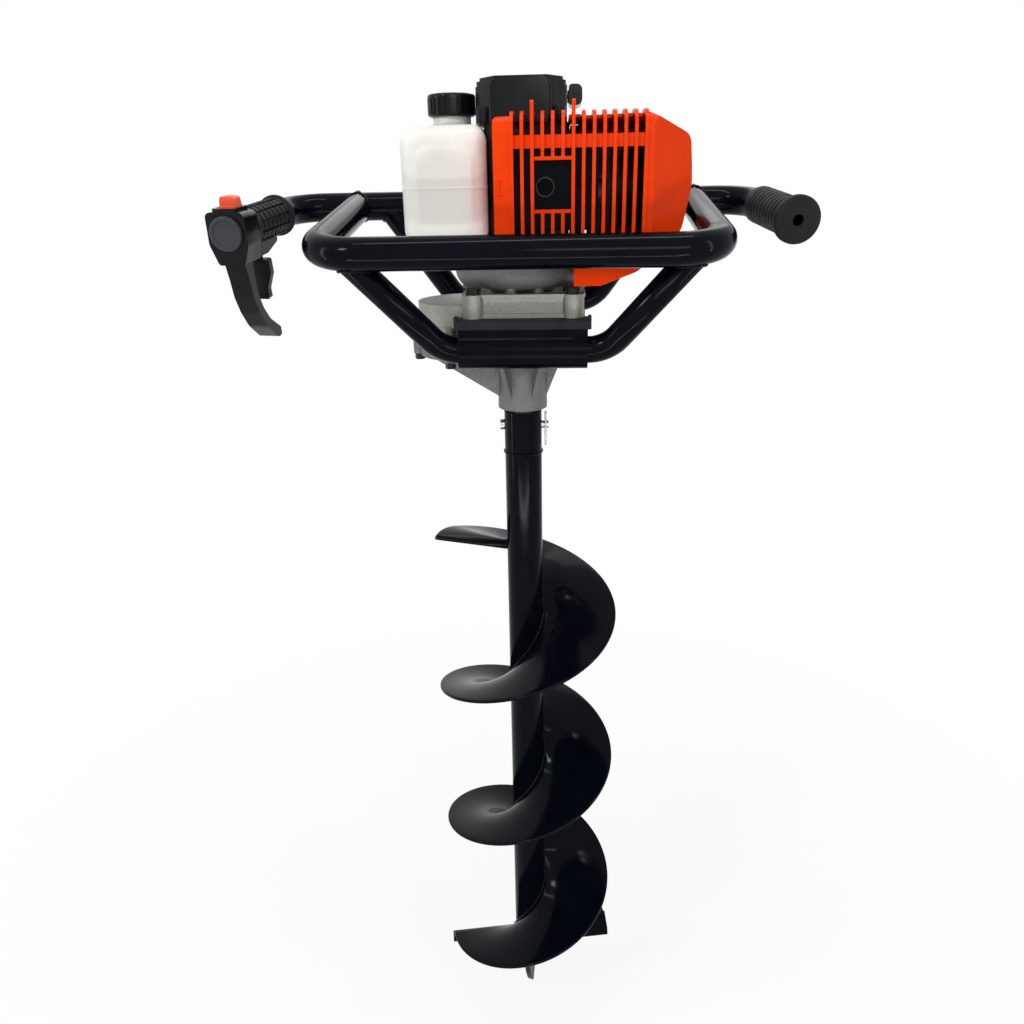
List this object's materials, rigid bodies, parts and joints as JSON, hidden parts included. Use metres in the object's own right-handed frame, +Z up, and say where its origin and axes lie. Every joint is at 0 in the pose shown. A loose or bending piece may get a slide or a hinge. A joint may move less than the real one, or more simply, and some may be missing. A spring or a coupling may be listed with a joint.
{
  "type": "earth auger",
  "caption": "Petrol earth auger: engine and gear case in a bent tube frame with two hand grips, driving a right-handed spiral drill bit with cutting blades and a pilot point.",
  "frame": {"origin": "pilot tip of the drill bit, on the drilling axis", "axes": "+Z up along the drilling axis, +X to the right of the front view, +Y to the operator behind the engine"},
  "size_m": [0.545, 0.2387, 1.0976],
  "materials": {
    "gloss_black": "gloss",
    "satin_black": "satin",
    "black_rubber": "matte",
    "black_plastic": "satin",
    "red_plastic": "gloss",
    "orange_plastic": "gloss",
    "tank_plastic": "satin",
    "cast_aluminium": "cast",
    "steel": "ground",
    "zinc_steel": "zinc plated",
    "black_steel": "black oxide",
    "ceramic": "glazed",
    "clear_rubber": "satin"
  },
  "bodies": {
    "frame": {"rear_handlebar": "gloss_black", "guard_bar": "gloss_black", "front_leg": "gloss_black", "rear_leg": "gloss_black", "front_saddle": "satin_black", "rear_saddle": "satin_black", "front_pad": "black_rubber", "rear_pad": "black_rubber", "right_grip": "black_rubber", "left_grip": "black_rubber", "housing_inner": "black_plastic", "housing_outer": "black_plastic", "housing_cap": "black_plastic", "fuel_tank": "tank_plastic", "starter_cover": "black_plastic", "crankcase": "cast_aluminium", "fan_case": "cast_aluminium", "engine_cylinder": "cast_aluminium", "spark_plug": "ceramic", "plug_boot": "black_rubber", "ignition_coil": "black_plastic", "muffler": "satin_black", "engine_cover": "orange_plastic", "cover_grille": "orange_plastic", "carburettor": "cast_aluminium", "air_cleaner_base": "black_plastic", "air_cleaner_cover": "black_plastic", "gear_case_upper": "cast_aluminium", "gear_case_lower": "cast_aluminium", "bearings": "steel", "oil_seal": "black_rubber", "case_bolts": "black_steel", "saddle_bolts": "black_steel"},
    "bit": {"output_wheel": "steel", "output_shaft": "steel", "bit_socket": "gloss_black", "bit_tube": "gloss_black", "upper_flight": "gloss_black", "middle_flight": "gloss_black", "lower_flight": "gloss_black", "lower_wing": "gloss_black", "cutting_blades": "gloss_black", "pilot_point": "gloss_black", "cross_pin": "zinc_steel", "spring_clip": "zinc_steel"},
    "layshaft": {"layshaft": "steel"},
    "clutch_drum": {"clutch_drum": "steel"},
    "crank": {"crankshaft": "steel", "flywheel": "cast_aluminium", "clutch_shoes": "steel"},
    "piston": {"piston": "cast_aluminium", "connecting_rod": "steel"},
    "starter_handle": {"starter_handle": "black_plastic"},
    "starter_reel": {"starter_reel": "black_plastic"},
    "throttle_lever": {"throttle_lever": "black_plastic"},
    "lever_lock": {"lever_lock": "black_plastic"},
    "stop_switch": {"stop_switch": "red_plastic"},
    "fuel_cap": {"fuel_cap": "black_plastic"},
    "choke_lever": {"choke_lever": "red_plastic"},
    "primer_bulb": {"primer_bulb": "clear_rubber"}
  },
  "joints": [
    {"name": "bit_spin", "type": "hinge", "parent": "frame", "child": "bit", "pos_m": [0, 0, 0.8], "axis": [0, 0, 1], "continuous": true},
    {"name": "layshaft_spin", "type": "hinge", "parent": "frame", "child": "layshaft", "pos_m": [-0.05, 0, 0.87], "axis": [0, 0, 1], "continuous": true},
    {"name": "drum_spin", "type": "hinge", "parent": "frame", "child": "clutch_drum", "pos_m": [0, 0, 0.9], "axis": [0, 0, 1], "continuous": true},
    {"name": "crank_spin", "type": "hinge", "parent": "frame", "child": "crank", "pos_m": [0, 0, 0.94], "axis": [0, 0, 1], "continuous": true},
    {"name": "piston_stroke", "type": "slide", "parent": "frame", "child": "piston", "axis": [1, 0, 0], "range_m": [-0.03, 0]},
    {"name": "starter_pull", "type": "slide", "parent": "frame", "child": "starter_handle", "axis": [1, 0, 0], "range_m": [0, 0.8], "stiffness_N_per_m": 12, "springref_m": -0.2},
    {"name": "reel_spin", "type": "hinge", "parent": "frame", "child": "starter_reel", "pos_m": [0, 0, 1.072], "axis": [0, 0, 1], "range_deg": [0, 2200]},
    {"name": "throttle_squeeze", "type": "hinge", "parent": "frame", "child": "throttle_lever", "pos_m": [-0.25794, -0.04004, 0.95654], "axis": [0.992, -0.1252, -0.0143], "range_deg": [0, 13], "stiffness_Nm_per_rad": 0.6, "springref_deg": -28.65},
    {"name": "lock_press", "type": "hinge", "parent": "frame", "child": "lever_lock", "pos_m": [-0.2534, -0.00445, 0.95959], "axis": [0.992, -0.1252, -0.0143], "range_deg": [0, 10], "stiffness_Nm_per_rad": 0.2, "springref_deg": -28.65},
    {"name": "stop_slide", "type": "slide", "parent": "frame", "child": "stop_switch", "axis": [-0.1261, -0.9856, -0.1123], "range_m": [0, 0.006]},
    {"name": "cap_turn", "type": "hinge", "parent": "frame", "child": "fuel_cap", "pos_m": [-0.06, 0, 1.075], "axis": [0, 0, 1], "range_deg": [0, 300]},
    {"name": "choke_turn", "type": "hinge", "parent": "frame", "child": "choke_lever", "pos_m": [0.0885, 0.067, 1.01355], "axis": [1, 0, 0], "range_deg": [0, 35]},
    {"name": "primer_press", "type": "slide", "parent": "frame", "child": "primer_bulb", "axis": [0, 0, 1], "range_m": [0, 0.004], "stiffness_N_per_m": 400, "springref_m": -0.001}
  ],
  "couplings": [
    {"joint": "layshaft_spin", "follows": "bit_spin", "ratio": -4},
    {"joint": "drum_spin", "follows": "bit_spin", "ratio": 28},
    {"joint": "reel_spin", "follows": "starter_pull", "rad_per_m": 41.667}
  ]
}
